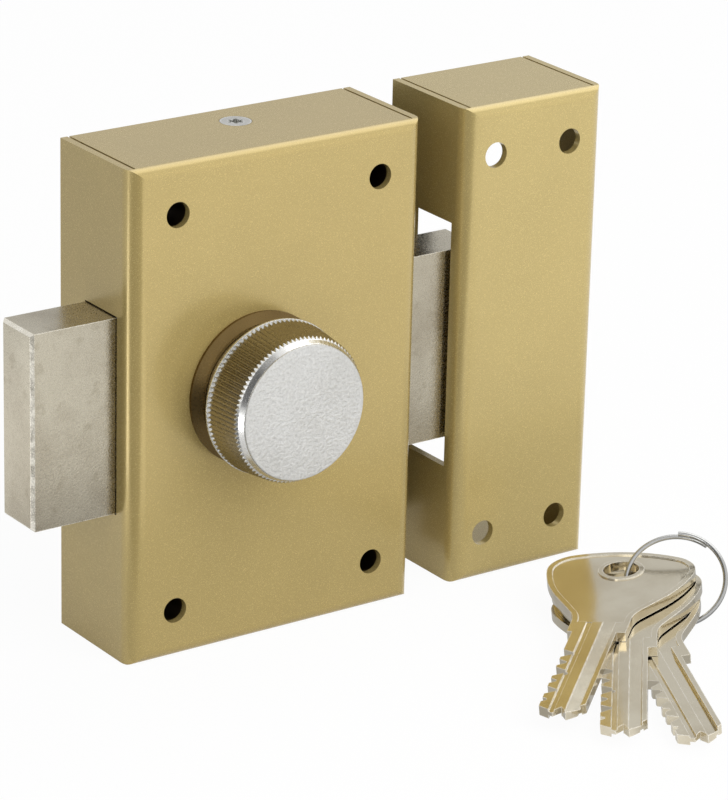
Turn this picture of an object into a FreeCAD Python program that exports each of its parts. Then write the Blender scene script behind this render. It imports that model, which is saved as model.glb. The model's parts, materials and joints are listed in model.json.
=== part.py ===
import FreeCAD
import Part
import math
import os

# Rim deadbolt set: a folded steel case with a knurled knob and a through bolt, a folded
# keeper beside it, a round key cylinder behind, and three keys on a lapped ring.
# Millimetres. The origin is the centre of the case's mounting face. +X points to the
# keeper, +Z up, and -Y into the room, so the door lies at y = 0 and beyond.

V = FreeCAD.Vector
X, Y, Z = V(1, 0, 0), V(0, 1, 0), V(0, 0, 1)
FAR = 400.0                  # reach of a cutting tool that only has to pass through

# Folded sheet shared by the case cover and the keeper
height = 100.0
depth = 25.5
sheet = 1.5
side_bend = 3.4              # outer radius of the side folds
end_bend = 2.1               # outer radius of the top and bottom folds
corner_slit = 0.5            # open joint between a side flange and an end flange

# Case
case_width = 66.4
fixing_hole_r = 2.55
fixing_from_side = 10.2
fixing_from_end = 9.85
plate = 2.0                  # back plate thickness
plate_gap = 0.3              # back plate to the cover's flanges
cover_screw_r = 1.95
cover_head_r = 3.1
cover_screw_length = 9.0
screw_x = 1.2
screw_y = -7.8
tab_width = 18.0
tab_depth = 14.0

# Knob axis, and what turns on it
axis_x = -4.7
axis_z = 2.35
spindle_r = 4.0
running = 0.05               # radial running clearance
seat = 0.05                  # radial clearance of parts fixed together
rotor_gap = 0.1              # end gap between turning and fixed faces

# Knob
collar_r = 15.45
collar_face_r = 13.6
collar_band = 0.6            # straight part of the collar's edge, beside the case
collar_proud = 1.8
spigot_r = 10.5
knob_back_r = 15.6
knob_tips_r = 14.6           # over the teeth at their front end
knob_face_r = 13.4
knob_neck_r = 13.0
knob_neck_length = 3.8
knob_head_length = 10.6
knob_nose = 1.5              # smooth bevel in front of the teeth
knob_rim = 0.6               # plain band behind the teeth
knurl_teeth = 96
knurl_depth = 0.5
knob_web = 4.0               # metal in front of the spindle's end
grub_r = 1.5
clip_thick = 0.7
clip_from_sheet = 2.8

# Bolt
bolt_height = 39.7
bolt_thick = 11.0
bolt_length = 103.2
bolt_z = 0.2
bolt_front = 5.35            # bolt face behind the case's outer face
bolt_edge = 0.6              # chamfer round each end
travel = 11.0                # to each side of the middle position
slot_gap = 0.25              # bolt to the windows in the flanges
guide_gap = 0.15             # bolt to the guide grooves

# Guides
guide_length = 48.0
guide_height = 8.2
guide_lip = 1.2              # how far the groove holds the bolt's edge
guide_wall = 1.85            # front lip thickness
rivet_r = 1.95
rivet_x = 20.0

# Rack and pinion
module = 1.0
pinion_teeth = 12
pressure_angle = 20.0
pinion_addendum = 0.85
rack_addendum = 0.65
dedendum = 1.2
backlash = 0.2
rack_thick = 3.7
rack_height = 6.6            # from the pitch line to the back of the bar
rack_left = -20.2
rack_right = 11.2
bolt_to_rotor = 0.25         # bolt's back face to the pinion
square = 5.6                 # spindle square
rack_screw_r = 1.5
rack_screw_head = 0.9        # how much wider the head is

# Detent that steadies the bolt
ball_r = 2.5
detent_x = 10.0
groove_depth = 0.8
ball_gap = 0.1
barrel_r = 3.95
barrel_length = 15.6
barrel_floor = 1.5
spring_wall = 0.6            # the hidden springs are drawn as plain sleeves

# Key cylinder
cyl_r = 11.5
cyl_length = 25.0
cyl_drop = 4.2               # cylinder centre below the plug axis
plug_r = 6.2
plug_rim_r = 7.0
plug_inner = 1.4             # plug end inside the case plate
pin_r = 1.4
pin_pitch = 3.9
first_pin_y = 6.35
key_pin_lengths = (2.4, 3.2, 2.0, 2.8, 3.6)
driver_length = 3.0
cap_length = 1.6
pin_spring_r = 1.2
tail_thick = 1.8
tail_width = 5.0
tail_seat = 1.8
tail_pin_r = 0.5
tail_pin_y = 0.9
cyl_screw_across = 7.8
cyl_screw_drop = 2.0
cyl_screw_r = 2.4
cyl_screw_length = 16.0
cyl_screw_hole = 16.0        # depth of its hole in the cylinder

# Keeper
keeper_gap = 10.44           # clear space between case and keeper
keeper_width = 33.73
keeper_hole_r = 2.6
keeper_hole_across = 18.1
keeper_hole_from_end = 10.0
keeper_hole_shift = -0.75    # pattern centre from the keeper's middle
window_height = 51.5
window_front = 4.4           # window edge behind the keeper's outer face
window_depth = 13.2

# Keys and ring
key_thick = 2.0
key_gap = 0.05               # between neighbours in the stack
key_tilt = 6.8               # degrees, the stack's lean
key_tilt_heading = 158.5
key_rest = 0.35              # lowest point above the surface
key_tip = 62.0               # hole to tip
key_blade_start = 28.4
key_blade_half = 4.4
key_hole_r = 3.6
bow_corner = 8.1             # corner centres to each side of the hole
bow_corner_u = 0.3           # and towards the tip
bow_corner_r = 6.9
bow_top = 8.1
bow_side_r = 30.0            # slow curve of the bow's sides
bow_side_from = 82.0         # degrees round from the key's length where it begins
bow_lean = 58.0              # and where it runs out into a straight
bow_flare_r = 8.0            # hollow curve from the bow's side into the neck
bow_rim = 1.2                # raised border of the bow's faces
bow_dish = 0.25
dish_end = 24.0
neck_stop = 6.2              # neck half width on the side that stops at the plug
neck_plain = 5.4
flute_fade = 20.0            # where the run-outs of the blade's flutes begin
key_cuts = (0.9, 2.1, 1.2, 2.6, 1.6, 2.2)
key_cut_pitch = 3.9
first_key_from_keeper = V(5.105, -26.75, 0)          # hole from keeper's middle and front
key_steps = (V(0, 0, 0), V(-1.2, -3.38, 0), V(-2.62, -4.95, 0))
key_headings = (221.0, 231.13, 245.16)
ring_r = 9.934
ring_from_hole = V(7.248, -8.256, -0.097)            # ring's centre from the first key's hole
ring_normal = V(0.4918, 0.4666, -0.7351)
ring_wire_r = 0.5
ring_lap = 35.0              # degrees of overlap at the ends
ring_pitch = 1.45
ring_start = 219.0           # degrees round the ring to its first end

# Places that follow from the sizes above
top = height / 2
front = -depth
inner_front = front + sheet
bolt_face = front + bolt_front
bolt_back = bolt_face + bolt_thick
bolt_mid_y = (bolt_face + bolt_back) / 2
bolt_under = bolt_z - bolt_height / 2
plate_front = -plate
collar_front = front - collar_proud
knob_back = collar_front - rotor_gap
head_back = knob_back - knob_neck_length
knob_front = head_back - knob_head_length
tips_end = knob_front + knob_nose
root_r = knob_tips_r - knurl_depth
grub_y = (knob_back + head_back) / 2
clip_y = inner_front + clip_from_sheet
fixing_across = case_width - 2 * fixing_from_side
fixing_up = height - 2 * fixing_from_end
keeper_hole_up = height - 2 * keeper_hole_from_end
keeper_x = case_width / 2 + keeper_gap + keeper_width / 2
cyl_z = axis_z - cyl_drop
pitch_r = module * pinion_teeth / 2
rotor_front = bolt_back + bolt_to_rotor
rotor_back = rotor_front + rack_thick - 0.2
spindle_end = rotor_back + 0.5
first_key = V(keeper_x, front, 0) + first_key_from_keeper


def box(x0, x1, y0, y1, z0, z1):
    return Part.makeBox(x1 - x0, y1 - y0, z1 - z0, V(x0, y0, z0))


def rod(r, start, along, length):
    return Part.makeCylinder(r, length, start, along)


def cone(r0, r1, start, along, length):
    return Part.makeCone(r0, r1, length, start, along)


def edges_where(shape, test):
    return [e for e in shape.Edges if all(test(v.Point) for v in e.Vertexes)]


def prism(points, direction):
    return Part.Face(Part.makePolygon(points + points[:1])).extrude(direction)


def turned(profile, x=axis_x, z=axis_z):
    """Revolve a closed (radius, y) outline about a line along Y."""
    wire = Part.makePolygon([V(r, y, 0) for r, y in profile + profile[:1]])
    return Part.Face(wire).revolve(V(0, 0, 0), Y, 360).translated(V(x, 0, z))


def arc_from(start, control, end):
    """The arc from start to end whose end tangents meet at control."""
    middle = (start + end) * 0.5
    half_chord = (end - start).Length / 2
    angle = math.acos(min(1.0, half_chord / (control - start).Length))
    rise = (control - middle).normalize() * (half_chord * math.tan(angle / 2))
    return Part.Arc(start, middle + rise, end).toShape()


def coil(radius, wire_r, pitch, turns):
    """A round wire wound about +Z from z = 0: pairs of arcs, a pair to each quarter turn."""
    quarters = math.ceil(4 * turns)
    step = 2 * math.pi * turns / quarters
    rise = pitch / (2 * math.pi)

    def at(a):
        return V(radius * math.cos(a), radius * math.sin(a), rise * a)

    def heading(a):
        return V(-radius * math.sin(a), radius * math.cos(a), rise).normalize()
    edges = []
    for i in range(quarters):
        p0, p1 = at(i * step), at((i + 1) * step)
        t0, t1 = heading(i * step), heading((i + 1) * step)
        chord, both = p1 - p0, t0 + t1
        spare = 4 - both.dot(both)
        along = chord.dot(both)
        reach = (math.sqrt(along ** 2 + spare * chord.dot(chord)) - along) / spare
        c0, c1 = p0 + t0 * reach, p1 - t1 * reach
        joint = (c0 + c1) * 0.5
        edges += [arc_from(p0, c0, joint), arc_from(joint, c1, p1)]
    samples = [at(i * step / 16) for i in range(16 * quarters + 1)]
    apart = int(8 / (step / (2 * math.pi)))
    gaps = [(p - q).Length for i, p in enumerate(samples) for q in samples[i + apart:]]
    print("coil of", round(turns, 2), "turns, least gap to itself",
          round(min(gaps) - 2 * wire_r, 2))
    section = Part.Wire(Part.makeCircle(wire_r, at(0), heading(0)))
    return Part.Wire(edges).makePipeShell([section], True)


def export(name, solids):
    shape = solids[0] if len(solids) == 1 else Part.makeCompound(solids)
    shape.exportStep("parts/" + name + ".step")
    print(name, len(shape.Solids), "valid" if shape.isValid() else "NOT VALID",
          round(shape.Volume, 1))


# Folded boxes

def folded_box(width):
    """A front sheet with four flanges folded back and its corners left open."""
    def rounded(w, h, y0, y1, inset):
        body = box(-w / 2, w / 2, y0, y1, -h / 2, h / 2)
        nose = edges_where(body, lambda p: abs(p.y - y0) < 0.01)
        sides = body.makeFillet(side_bend - inset, [e for e in nose if e.BoundBox.ZLength > 1])
        ends = body.makeFillet(end_bend - inset, [e for e in nose if e.BoundBox.XLength > 1])
        return sides.common(ends)
    shell = rounded(width, height, front, 0, 0)
    hollow = rounded(width - 2 * sheet, height - 2 * sheet, inner_front, FAR, sheet)
    shell = shell.cut(hollow)
    slit_front = front + end_bend
    cutters = []
    for side in (-1, 1):
        mid = side * (width / 2 - sheet - corner_slit / 2)
        for end in (-1, 1):
            z0 = min(end * (top - sheet - side_bend), end * FAR)
            z1 = max(end * (top - sheet - side_bend), end * FAR)
            slit = box(mid - corner_slit / 2, mid + corner_slit / 2, slit_front, FAR, z0, z1)
            keep = box(-FAR, FAR, -FAR, FAR, -top + sheet, top - sheet)
            cutters.append(slit.cut(keep))
            cutters.append(rod(corner_slit / 2, V(mid, slit_front, end * (top - sheet)),
                               Z * end, FAR))
    return shell.cut(Part.makeCompound(cutters))


def fixing_places(across, up, shift=0.0):
    return [(shift + sx * across / 2, sz * up / 2) for sx in (-1, 1) for sz in (-1, 1)]


def case_cover():
    cover = folded_box(case_width)
    cuts = [rod(fixing_hole_r, V(x, front - 1, z), Y, sheet + 2)
            for x, z in fixing_places(fixing_across, fixing_up)]
    cuts.append(rod(spigot_r + seat, V(axis_x, front - 1, axis_z), Y, sheet + 2))
    cuts.append(box(-FAR, FAR, bolt_face - slot_gap, bolt_back + slot_gap,
                    bolt_under - slot_gap, bolt_under + bolt_height + slot_gap))
    for end in (-1, 1):
        cuts.append(rod(cover_screw_r + 0.15, V(screw_x, screw_y, 0), Z * end, FAR))
        cuts.append(cone(cover_screw_r, cover_head_r + sheet, V(screw_x, screw_y, end * (
            top - cover_head_r + cover_screw_r)), Z * end, cover_head_r - cover_screw_r + sheet))
        cuts.append(rod(cover_head_r + 0.15, V(screw_x, screw_y, end * (top - 0.3)), Z * end, FAR))
    return cover.cut(Part.makeCompound(cuts))


def torx_recess(depth_in):
    lobes = [rod(1.15, V(0, 0, -depth_in), Z, depth_in + 1)]
    for i in range(6):
        a = math.radians(60 * i)
        lobes.append(rod(0.42, V(1.25 * math.cos(a), 1.25 * math.sin(a), -depth_in), Z,
                         depth_in + 1))
    return lobes[0].multiFuse(lobes[1:])


def cover_screw(end):
    """A flat-head screw through an end flange into the back plate's tab."""
    head = cover_head_r - cover_screw_r
    body = cone(cover_screw_r, cover_head_r, V(0, 0, -head), Z, head)
    body = body.fuse(rod(cover_screw_r, V(0, 0, -cover_screw_length), Z,
                         cover_screw_length - head / 2))
    body = body.cut(torx_recess(1.1)).removeSplitter()
    if end < 0:
        body.rotate(V(0, 0, 0), X, 180)
    return body.translated(V(screw_x, screw_y, end * top))


def bent_tab(end):
    """The ear of the back plate that is folded under an end flange."""
    tab_top = top - sheet
    r_out, r_in = plate + 0.5, 0.5
    corner = math.sqrt(0.5)
    path = [
        Part.LineSegment(V(0, 0, tab_top - 8), V(0, 0, tab_top - r_out)),
        Part.Arc(V(0, 0, tab_top - r_out),
                 V(0, -r_out * (1 - corner), tab_top - r_out * (1 - corner)),
                 V(0, -r_out, tab_top)),
        Part.LineSegment(V(0, -r_out, tab_top), V(0, -tab_depth, tab_top)),
        Part.LineSegment(V(0, -tab_depth, tab_top), V(0, -tab_depth, tab_top - plate)),
        Part.LineSegment(V(0, -tab_depth, tab_top - plate), V(0, -r_out, tab_top - plate)),
        Part.Arc(V(0, -r_out, tab_top - plate),
                 V(0, -plate - r_in * (1 - corner), tab_top - plate - r_in * (1 - corner)),
                 V(0, -plate, tab_top - r_out)),
        Part.LineSegment(V(0, -plate, tab_top - r_out), V(0, -plate, tab_top - 8)),
        Part.LineSegment(V(0, -plate, tab_top - 8), V(0, 0, tab_top - 8)),
    ]
    ear = Part.Face(Part.Wire([p.toShape() for p in path])).extrude(X * tab_width)
    ear = ear.translated(V(screw_x - tab_width / 2, 0, 0))
    return ear if end > 0 else ear.mirror(V(0, 0, 0), Z)


def guide_rivet_places():
    z = bolt_height / 2 + guide_gap + guide_height / 2
    return [(sx * rivet_x, bolt_z + sz * z) for sx in (-1, 1) for sz in (-1, 1)]


def cyl_screw_places():
    return [(axis_x + s * cyl_screw_across, cyl_z - cyl_screw_drop) for s in (-1, 1)]


def back_plate():
    half_w = case_width / 2 - sheet - plate_gap
    half_h = top - sheet - plate_gap
    body = box(-half_w, half_w, plate_front, 0, -half_h, half_h)
    body = body.makeFillet(2.0, [e for e in body.Edges if abs(e.tangentAt(0).y) > 0.99])
    body = body.multiFuse([bent_tab(1), bent_tab(-1)])
    cuts = [rod(fixing_hole_r, V(x, -plate - 1, z), Y, plate + 2)
            for x, z in fixing_places(fixing_across, fixing_up)]
    cuts.append(rod(plug_rim_r + 0.4, V(axis_x, -plate - 1, axis_z), Y, plate + 2))
    for x, z in cyl_screw_places():
        cuts.append(rod(cyl_screw_r + 0.2, V(x, -plate - 1, z), Y, plate + 2))
    for x, z in guide_rivet_places():
        cuts.append(rod(rivet_r + seat, V(x, -plate - 1, z), Y, plate + 2))
        cuts.append(cone(rivet_r + seat, rivet_r + seat + 1.2, V(x, -1.2, z), Y, 1.2))
    cuts.append(rod(cover_screw_r + seat, V(screw_x, screw_y, -FAR), Z, 2 * FAR))
    return body.cut(Part.makeCompound(cuts)).removeSplitter()


def spacer_tubes():
    """Posts that keep the sheet from caving in under the fixing screws."""
    tubes = []
    for x, z in fixing_places(fixing_across, fixing_up):
        post = rod(fixing_hole_r + 1.6, V(x, inner_front, z), Y, plate_front - inner_front)
        bore = rod(fixing_hole_r, V(x, inner_front - 1, z), Y, depth)
        tubes.append(post.cut(bore))
    return tubes


# Bolt, its guides and its detent

def bolt_guide_upper():
    """A cast block whose groove holds the bolt's upper edge."""
    edge = bolt_z + bolt_height / 2
    y0 = bolt_face - guide_gap - guide_wall
    body = box(-guide_length / 2, guide_length / 2, y0, plate_front,
               edge - guide_lip, edge + guide_gap + guide_height)
    body = body.makeFillet(1.0, [e for e in body.Edges
                                 if abs(e.tangentAt(0).y) > 0.99
                                 and e.BoundBox.ZMin > edge])
    groove = box(-FAR, FAR, bolt_face - guide_gap, bolt_back + guide_gap,
                 edge - guide_lip - 1, edge + guide_gap)
    pockets = [box(sx * 9 - 6, sx * 9 + 6, bolt_face + 2, plate_front - 3,
                   edge + 2.5, edge + FAR) for sx in (-1, 1)]
    holes = [rod(rivet_r + seat, V(sx * rivet_x, y0 - 1, guide_rivet_places()[1][1]), Y,
                 depth) for sx in (-1, 1)]
    return body.cut(Part.makeCompound([groove] + pockets + holes))


def bolt_guide_lower():
    body = bolt_guide_upper().mirror(V(0, 0, bolt_z), Z)
    hub_r = barrel_r + 2.0
    low = bolt_under - guide_gap - guide_height
    hub = rod(hub_r, V(detent_x, bolt_mid_y, low), Z, guide_height - 0.5)
    bore = rod(barrel_r + seat, V(detent_x, bolt_mid_y, low - 1), Z, guide_height + 5)
    return body.fuse(hub).cut(bore).removeSplitter()


def guide_rivets():
    y0 = bolt_face - guide_gap - guide_wall
    rivets = []
    for x, z in guide_rivet_places():
        shank = rod(rivet_r, V(x, y0, z), Y, -y0 - 1.2)
        flush = cone(rivet_r, rivet_r + 1.15, V(x, -1.2, z), Y, 1.2)
        head = cone(rivet_r + 0.9, rivet_r + 1.4, V(x, y0 - 0.9, z), Y, 0.9)
        rivets.append(shank.multiFuse([flush, head]).removeSplitter())
    return rivets


def ball_centre_z():
    return bolt_under + groove_depth - ball_gap - ball_r


def detent_barrel():
    z1 = bolt_under - guide_gap - 0.5
    z0 = z1 - barrel_length
    body = rod(barrel_r, V(detent_x, bolt_mid_y, z0), Z, barrel_length)
    body = body.makeChamfer(0.5, edges_where(body, lambda p: abs(p.z - z0) < 0.01))
    bore = rod(ball_r + 0.1, V(detent_x, bolt_mid_y, z0 + barrel_floor), Z, FAR)
    slot = box(detent_x - 5, detent_x + 5, bolt_mid_y - 0.6, bolt_mid_y + 0.6, z0 - 1, z0 + 0.8)
    return body.cut(bore).cut(slot)


def sleeve(r, wall, start, along, length):
    return rod(r, start, along, length).cut(rod(r - wall, start - along, along, length + 2))


def detent_spring():
    """The spring under the ball, as a plain sleeve of its outline."""
    z0 = bolt_under - guide_gap - 0.5 - barrel_length + barrel_floor
    z1 = ball_centre_z() - ball_r
    return sleeve(ball_r - 0.3, spring_wall, V(detent_x, bolt_mid_y, z0), Z, z1 - z0)


def bolt():
    half = bolt_length / 2
    body = box(-half, half, bolt_face, bolt_back, bolt_under, bolt_under + bolt_height)
    body = body.makeChamfer(bolt_edge, [e for e in body.Edges
                                        if abs(abs(e.CenterOfMass.x) - half) < 0.01])
    slot_r = spindle_r + 0.4
    slot = box(axis_x - travel, axis_x + travel, bolt_face - 1, bolt_back + 1,
               axis_z - slot_r, axis_z + slot_r)
    slot = slot.multiFuse([rod(slot_r, V(axis_x + s * travel, bolt_face - 1, axis_z), Y,
                               bolt_thick + 2) for s in (-1, 1)])
    track_r = ball_r + 0.2
    track_z = ball_centre_z()
    track = rod(track_r, V(detent_x - travel, bolt_mid_y, track_z), X, 2 * travel)
    dimples = [Part.makeSphere(track_r + 0.5, V(detent_x + s * travel, bolt_mid_y, track_z))
               for s in (-1, 1)]
    holes = [rod(rack_screw_r + seat, V(x, bolt_back - 7, rack_screw_z()), Y, 8)
             for x in rack_screw_x()]
    return body.cut(Part.makeCompound([slot, track] + dimples + holes))


# Rack, pinion and spindle

def rack_screw_x():
    return rack_left + 5.0, rack_right - 5.0


def rack_screw_z():
    return axis_z + pitch_r + rack_height - 2.9


def rack_bar():
    """Straight teeth that hang down into the pinion from a bar on the bolt's back."""
    pitch = math.pi * module
    lean = math.tan(math.radians(pressure_angle))
    line = axis_z + pitch_r
    half = (pitch / 2 - backlash) / 2
    outline = [V(rack_left, 0, line + rack_height), V(rack_left, 0, line + dedendum)]
    first = math.ceil((rack_left - axis_x) / pitch)
    last = math.floor((rack_right - axis_x) / pitch)
    for i in range(first, last):
        x = axis_x + (i + 0.5) * pitch
        outline += [V(x - half - dedendum * lean, 0, line + dedendum),
                    V(x - half + rack_addendum * lean, 0, line - rack_addendum),
                    V(x + half - rack_addendum * lean, 0, line - rack_addendum),
                    V(x + half + dedendum * lean, 0, line + dedendum)]
    outline += [V(rack_right, 0, line + dedendum), V(rack_right, 0, line + rack_height)]
    bar = prism([p + Y * bolt_back for p in outline], Y * rack_thick)
    cuts = []
    for x in rack_screw_x():
        cuts.append(rod(rack_screw_r + seat, V(x, bolt_back - 1, rack_screw_z()), Y, 9))
        cuts.append(cone(rack_screw_r + seat, rack_screw_r + seat + rack_screw_head,
                         V(x, bolt_back + rack_thick - 1.2, rack_screw_z()), Y, 1.2))
    return bar.cut(Part.makeCompound(cuts))


def rack_screws():
    screws = []
    for x in rack_screw_x():
        y1 = bolt_back + rack_thick
        shank = rod(rack_screw_r, V(x, bolt_back - 6.5, rack_screw_z()), Y, rack_thick + 6.5)
        head = cone(rack_screw_r, rack_screw_r + rack_screw_head,
                    V(x, y1 - 1.2, rack_screw_z()), Y, 1.2)
        slot = box(x - 3, x + 3, y1 - 0.6, y1 + 1, rack_screw_z() - 0.3, rack_screw_z() + 0.3)
        screws.append(shank.fuse(head).cut(slot).removeSplitter())
    return screws


def gear_outline(y):
    """Involute teeth about the knob axis, with one tooth straight up."""
    base = pitch_r * math.cos(math.radians(pressure_angle))
    tip = pitch_r + pinion_addendum * module
    root = pitch_r - dedendum * module
    half = (math.pi * module / 2 - backlash) / 2 / pitch_r

    def inv(r):
        a = math.acos(min(1.0, base / r))
        return math.tan(a) - a
    steps = [base + (tip - base) * i / 4 for i in range(5)]
    flank = [(root, half + inv(pitch_r) + 0.02)]
    flank += [(r, half + inv(pitch_r) - inv(r)) for r in steps]
    points = []
    for t in range(pinion_teeth):
        mid = math.pi / 2 - 2 * math.pi * t / pinion_teeth
        for r, a in flank:
            points.append((r, mid + a))
        for r, a in reversed(flank):
            points.append((r, mid - a))
    return [V(axis_x + r * math.cos(a), y, axis_z + r * math.sin(a)) for r, a in points]


def square_bar(size, y0, y1):
    h = size / 2
    return box(axis_x - h, axis_x + h, y0, y1, axis_z - h, axis_z + h)


def pinion():
    body = prism(gear_outline(rotor_front), Y * (rotor_back - rotor_front))
    return body.cut(square_bar(square + 2 * seat, rotor_front - 1, rotor_back + 1))


def spindle():
    knob_end = knob_front + knob_web
    body = turned([(0, knob_end), (spindle_r - 0.5, knob_end), (spindle_r, knob_end + 0.5),
                   (spindle_r, clip_y - seat), (spindle_r - 0.8, clip_y - seat),
                   (spindle_r - 0.8, clip_y + clip_thick + seat),
                   (spindle_r, clip_y + clip_thick + seat),
                   (spindle_r, rotor_front), (0, rotor_front)])
    body = body.fuse(square_bar(square, rotor_front - 0.5, spindle_end))
    half = tail_thick / 2 + 0.1
    slot = box(axis_x - half, axis_x + half, spindle_end - 2.6, spindle_end + 1,
               axis_z - square, axis_z + square)
    return body.cut(slot).removeSplitter()


def spindle_clip():
    ring = turned([(spindle_r - 0.75, clip_y), (spindle_r + 2.4, clip_y),
                   (spindle_r + 2.4, clip_y + clip_thick), (spindle_r - 0.75, clip_y + clip_thick)])
    mouth = box(axis_x - 2.3, axis_x + 2.3, clip_y - 1, clip_y + 2, axis_z - 9, axis_z)
    return ring.cut(mouth)


# Knob and its bearing

def knurl_ring(tip_r, y):
    points = []
    for i in range(2 * knurl_teeth):
        r = tip_r if i % 2 == 0 else tip_r - knurl_depth
        a = math.pi * i / knurl_teeth
        points.append(V(r * math.cos(a), y, r * math.sin(a)))
    return Part.makePolygon(points + points[:1])


def knob():
    """A knurled head with a smooth nose, on a plain neck and bored for the spindle."""
    teeth = Part.makeLoft([knurl_ring(knob_back_r, head_back), knurl_ring(knob_tips_r, tips_end)],
                          True, True).translated(V(axis_x, 0, axis_z))
    cropped = turned([(0, head_back), (root_r + 3, head_back), (root_r + 3, tips_end + 3),
                      (root_r, tips_end), (0, tips_end)])
    rim = turned([(0, head_back), (knob_back_r - 0.2, head_back),
                  (knob_back_r, head_back - 0.2), (knob_back_r, head_back - knob_rim),
                  (0, head_back - knob_rim)])
    nose = turned([(0, tips_end), (root_r, tips_end), (knob_face_r + 0.2, knob_front + 0.25),
                   (knob_face_r, knob_front), (0, knob_front)])
    neck = turned([(0, knob_back), (knob_neck_r, knob_back), (knob_neck_r, head_back - 1),
                   (0, head_back - 1)])
    body = teeth.common(cropped).multiFuse([rim, nose, neck])
    bore = rod(spindle_r + seat, V(axis_x, knob_front + knob_web - 0.2, axis_z), Y, depth)
    grub = rod(grub_r + seat, V(axis_x, grub_y, axis_z), Z * -1, knob_neck_r + 1)
    return body.cut(bore).cut(grub).removeSplitter()


def knob_set_screw():
    z0 = axis_z - knob_neck_r + 0.5
    body = rod(grub_r, V(axis_x, grub_y, z0), Z, knob_neck_r - 0.5 - spindle_r)
    return body.cut(rod(0.75, V(axis_x, grub_y, z0 - 1), Z, 3))


def knob_collar():
    """A flanged bush, fixed through the cover, that the spindle turns in."""
    end = clip_y - rotor_gap
    bore = spindle_r + running
    return turned([(bore, collar_front), (collar_face_r, collar_front),
                   (collar_r, front - collar_band), (collar_r, front), (spigot_r, front),
                   (spigot_r, end), (bore, end)])


def collar_nut():
    nut_r = spigot_r + 3.0
    y1 = inner_front + 2.0
    ring = turned([(spigot_r + seat, inner_front), (nut_r, inner_front), (nut_r, y1 - 0.4),
                   (nut_r - 0.4, y1), (spigot_r + seat, y1)])
    for i in range(4):
        notch = box(nut_r - 1.2, nut_r + 1, inner_front - 1, y1 + 1, -1.5, 1.5)
        notch.rotate(V(0, 0, 0), Y, 90 * i + 45)
        ring = ring.cut(notch.translated(V(axis_x, 0, axis_z)))
    return ring


# Key cylinder behind the case

def pin_ys():
    return [first_pin_y + i * pin_pitch for i in range(len(key_pin_lengths))]


def shear(offset):
    """Height of a level below the plug axis."""
    return axis_z - offset


def cylinder_body():
    body = rod(cyl_r, V(axis_x, 0, cyl_z), Y, cyl_length)
    body = body.makeChamfer(0.5, edges_where(body, lambda p: p.y > cyl_length - 0.01))
    cuts = [rod(plug_r + running, V(axis_x, -1, axis_z), Y, cyl_length + 2),
            rod(plug_rim_r + running, V(axis_x, cyl_length - 0.9, axis_z), Y, 2)]
    for y in pin_ys():
        cuts.append(rod(pin_r + seat, V(axis_x, y, axis_z), Z * -1, 2 * cyl_r))
    for x, z in cyl_screw_places():
        cuts.append(rod(cyl_screw_r + seat, V(x, -1, z), Y, cyl_screw_hole + 1))
    return body.cut(Part.makeCompound(cuts))


def keyway(y0, y1):
    """The warded slot, as the key's blade fills it."""
    wide = key_thick / 2 + 0.2
    tall = key_blade_half + 0.2
    ward = wide - 0.65
    outline = [(-wide, -tall), (wide, -tall), (wide, -1.9), (ward, -1.5), (ward, 0.2),
               (wide, 0.6), (wide, tall), (-wide, tall), (-wide, 2.9), (-ward, 2.5),
               (-ward, 1.2), (-wide, 0.8)]
    return prism([V(axis_x + x, y0, axis_z + z) for x, z in outline], Y * (y1 - y0))


def cylinder_plug():
    groove0, groove1 = -0.75, -0.05
    body = turned([(0, -plug_inner), (plug_r - 0.3, -plug_inner), (plug_r, -plug_inner + 0.3),
                   (plug_r, groove0), (plug_r - 0.8, groove0), (plug_r - 0.8, groove1),
                   (plug_r, groove1), (plug_r, cyl_length - 0.8), (plug_rim_r, cyl_length - 0.8),
                   (plug_rim_r, cyl_length), (0, cyl_length)])
    cuts = [keyway(2.4, cyl_length + 1)]
    for y in pin_ys():
        cuts.append(rod(pin_r + seat, V(axis_x, y, shear(2.5)), Z * -1, plug_r))
    half, wide = tail_thick / 2 + seat, tail_width / 2 + seat
    cuts.append(box(axis_x - half, axis_x + half, -plug_inner - 1, tail_seat,
                    axis_z - wide, axis_z + wide))
    cuts.append(rod(tail_pin_r + seat, V(axis_x - FAR, tail_pin_y, axis_z), X, 2 * FAR))
    return body.cut(Part.makeCompound(cuts)).removeSplitter()


def tailpiece():
    y0 = spindle_end - 2.4
    body = box(axis_x - tail_thick / 2, axis_x + tail_thick / 2, y0, tail_seat - 0.1,
               axis_z - tail_width / 2, axis_z + tail_width / 2)
    body = body.makeChamfer(0.5, [e for e in body.Edges
                                  if abs(e.CenterOfMass.y - y0) < 0.01
                                  and abs(e.tangentAt(0).x) > 0.99])
    return body.cut(rod(tail_pin_r + seat, V(axis_x - 5, tail_pin_y, axis_z), X, 10))


def tail_pin():
    half = plug_r - 0.3
    return rod(tail_pin_r, V(axis_x - half, tail_pin_y, axis_z), X, 2 * half)


def plug_clip():
    ring = turned([(plug_r - 0.75, -0.7), (plug_rim_r - 0.1, -0.7), (plug_rim_r - 0.1, -0.1),
                   (plug_r - 0.75, -0.1)])
    mouth = box(axis_x - 3, axis_x + 3, -2, 1, axis_z, axis_z + 9)
    return ring.cut(mouth)


def key_pins():
    """Each pin ends at the shear line, as with the right key in."""
    pins = []
    for y, length in zip(pin_ys(), key_pin_lengths):
        foot = shear(plug_r - 0.2)
        body = rod(pin_r, V(axis_x, y, foot), Z, length - 0.7)
        nose = cone(pin_r, 0.5, V(axis_x, y, foot + length - 0.7), Z, 0.7)
        pins.append(body.fuse(nose).removeSplitter())
    return pins


def driver_pins():
    return [rod(pin_r, V(axis_x, y, shear(plug_r + 0.1 + driver_length)), Z, driver_length)
            for y in pin_ys()]


def chamber_floor():
    return cyl_z - cyl_r + 0.2 + cap_length


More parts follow.
